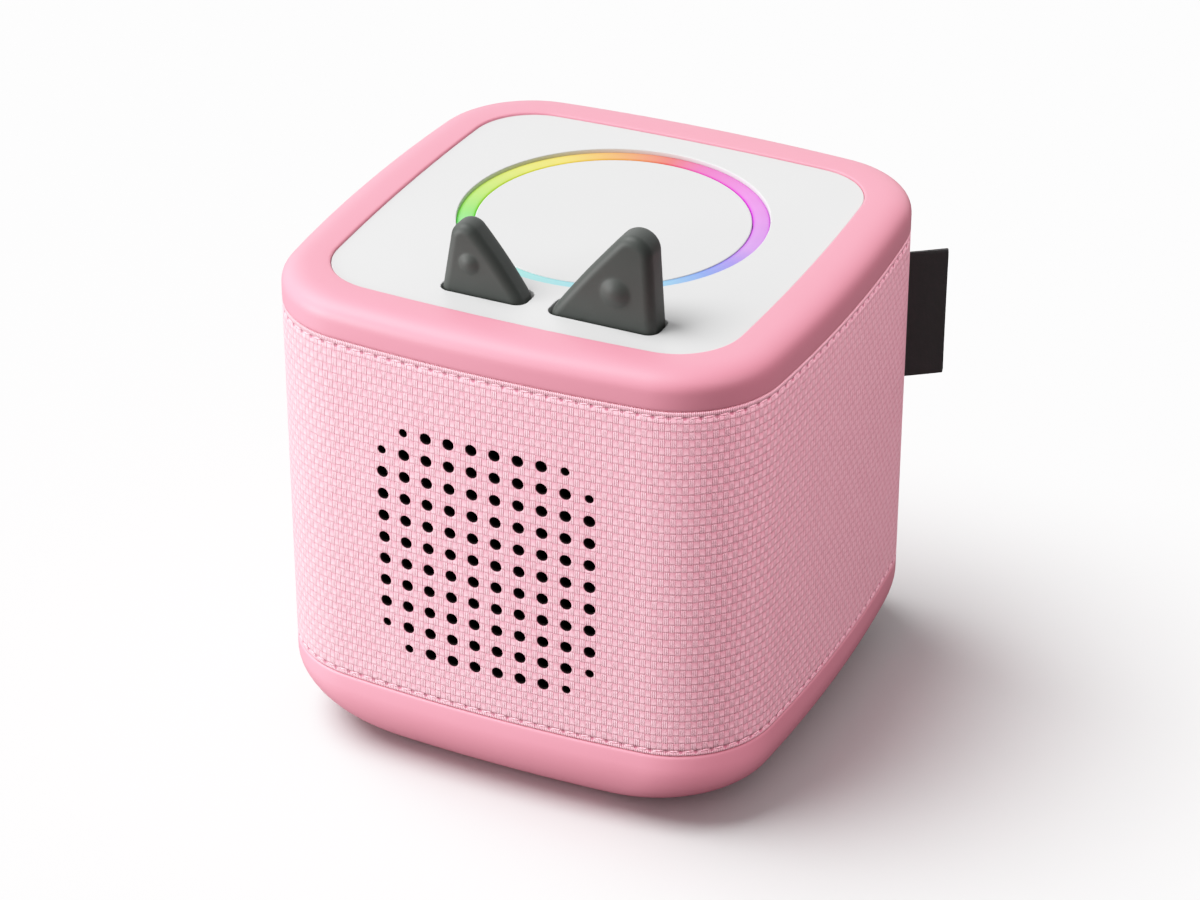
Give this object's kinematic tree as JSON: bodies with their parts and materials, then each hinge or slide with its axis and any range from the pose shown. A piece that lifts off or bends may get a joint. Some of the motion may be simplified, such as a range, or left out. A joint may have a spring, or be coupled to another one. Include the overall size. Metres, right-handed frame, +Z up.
{
  "type": "audio story player",
  "caption": "Padded cube-shaped story player for small children, with a fabric cover, a lit docking plate for figures and two rocking ear levers.",
  "frame": {"origin": "centre of the flat underside, on the surface that the player stands on", "axes": "+Z up through the docking plate, -Y towards the loudspeaker grille, +Y towards the ports at the back, +X towards the large ear"},
  "size_m": [0.1223, 0.12, 0.1363],
  "materials": {
    "cover_fabric": "woven pink cover fabric, perforated in front of the loudspeaker",
    "soft_trim": "satin pink silicone rubber with a fine grain",
    "ear_rubber": "satin dark grey soft-touch rubber",
    "plate_white": "satin white moulded plastic",
    "disc_white": "matt white moulded plastic",
    "ring_diffuser": "milky light-diffusing plastic",
    "label_tape": "charcoal woven tape, folded double",
    "bottom_grey": "fine-grained dusty pink-grey plastic",
    "padding": "needled felt padding",
    "black_cloth": "thin black acoustic cloth",
    "chassis_plastic": "dark grey moulded plastic",
    "lever_plastic": "natural acetal",
    "steel": "zinc-plated steel",
    "basket_metal": "black powder-coated steel",
    "ferrite": "sintered ferrite",
    "cone_paper": "black pressed cone paper",
    "surround_rubber": "thin black rubber",
    "copper": "enamelled copper wire",
    "board_green": "glass-fibre circuit board",
    "chip_black": "moulded component bodies",
    "module_metal": "tinned shield can",
    "led_white": "small light-emitting diodes",
    "cell_wrap": "shrink-wrapped cells",
    "strap_black": "strap plastic",
    "lead_insulation": "flat two-core insulation",
    "socket_black": "black socket mouldings",
    "shell_steel": "drawn steel socket shell"
  },
  "bodies": {
    "case": {"base_bumper": "soft_trim", "bottom_plate": "bottom_grey", "bottom_screws": "steel", "fabric_cover": "cover_fabric", "side_label": "label_tape", "foam_sleeve": "padding", "grille_backing": "chassis_plastic", "dust_cloth": "black_cloth", "core_housing": "chassis_plastic", "top_rim": "soft_trim", "top_plate": "plate_white", "dock_disc": "disc_white", "light_ring": "ring_diffuser", "light_ring_board": "board_green", "ring_leds": "led_white", "reader_board": "board_green", "reader_coil": "copper", "dock_magnet": "steel", "magnet_cup": "steel", "deck_frame": "chassis_plastic", "deck_screws": "steel", "ear_bracket": "chassis_plastic", "bracket_screws": "steel", "switch_board": "board_green", "small_ear_pin": "steel", "small_ear_switch": "chip_black", "large_ear_pin": "steel", "large_ear_switch": "chip_black", "speaker_gasket": "surround_rubber", "speaker_basket": "basket_metal", "speaker_surround": "surround_rubber", "speaker_washer": "steel", "speaker_magnet": "ferrite", "speaker_yoke": "steel", "speaker_screws": "steel", "main_board": "board_green", "board_screws": "steel", "board_chips": "chip_black", "wireless_module": "module_metal", "board_plugs": "lever_plastic", "ring_ribbon": "lead_insulation", "battery_tray": "chassis_plastic", "battery_cells": "cell_wrap", "battery_strap": "strap_black", "port_board": "board_green", "port_bezel": "soft_trim", "headphone_socket": "socket_black", "usb_socket": "shell_steel", "usb_insert": "socket_black", "speaker_lead": "lead_insulation", "battery_lead": "lead_insulation"},
    "small_ear": {"small_ear_skin": "ear_rubber", "small_ear_lever": "lever_plastic"},
    "large_ear": {"large_ear_skin": "ear_rubber", "large_ear_lever": "lever_plastic"},
    "small_plunger": {"small_ear_plunger": "lever_plastic"},
    "large_plunger": {"large_ear_plunger": "lever_plastic"},
    "cone": {"speaker_cone": "cone_paper", "dust_cap": "cone_paper", "voice_coil": "copper"}
  },
  "joints": [
    {"name": "small_ear_rock", "type": "hinge", "parent": "case", "child": "small_ear", "pos_m": [-0.00965, -0.0373, 0.1088], "axis": [1, 0, 0], "range_deg": [-4, 0], "stiffness_Nm_per_rad": 0.5},
    {"name": "large_ear_rock", "type": "hinge", "parent": "case", "child": "large_ear", "pos_m": [0.0188, -0.0373, 0.1088], "axis": [1, 0, 0], "range_deg": [-4, 0], "stiffness_Nm_per_rad": 0.5},
    {"name": "small_plunger_slide", "type": "slide", "parent": "case", "child": "small_plunger", "axis": [0, -1, 0], "range_m": [0, 0.00026]},
    {"name": "large_plunger_slide", "type": "slide", "parent": "case", "child": "large_plunger", "axis": [0, -1, 0], "range_m": [0, 0.00026]},
    {"name": "cone_stroke", "type": "slide", "parent": "case", "child": "cone", "axis": [0, -1, 0], "range_m": [-0.0008, 0.0008], "stiffness_N_per_m": 1500}
  ],
  "couplings": [
    {"joint": "small_plunger_slide", "follows": "small_ear_rock", "m_per_rad": -0.0036},
    {"joint": "large_plunger_slide", "follows": "large_ear_rock", "m_per_rad": -0.0036}
  ]
}
